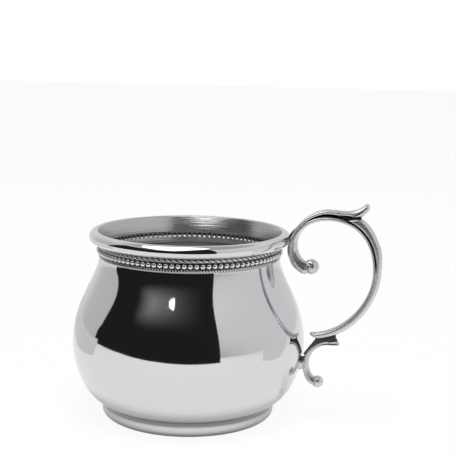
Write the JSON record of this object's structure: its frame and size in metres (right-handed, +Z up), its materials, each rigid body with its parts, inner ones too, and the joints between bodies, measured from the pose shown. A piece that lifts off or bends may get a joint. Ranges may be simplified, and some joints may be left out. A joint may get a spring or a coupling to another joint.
{
  "type": "baby cup",
  "caption": "Bulged baby cup in polished pewter with a beaded border under a rolled lip, an upright foot ring and an open scroll handle with a thumb tip.",
  "frame": {"origin": "on the table, under the middle of the length from the far side of the belly to the outside of the handle", "axes": "+X from the cup towards its handle, +Z up, and y = 0 is the plane that the handle lies in"},
  "size_m": [0.094, 0.0712, 0.067],
  "materials": {
    "polished_pewter": "mirror-polished pewter outside, satin inside",
    "cast_pewter": "polished pewter casting with darkened recesses"
  },
  "bodies": {
    "root": {"bowl": "polished_pewter", "foot_ring": "polished_pewter", "main_scroll": "cast_pewter", "thumb_scroll": "cast_pewter", "lower_scroll": "cast_pewter"}
  },
  "joints": []
}
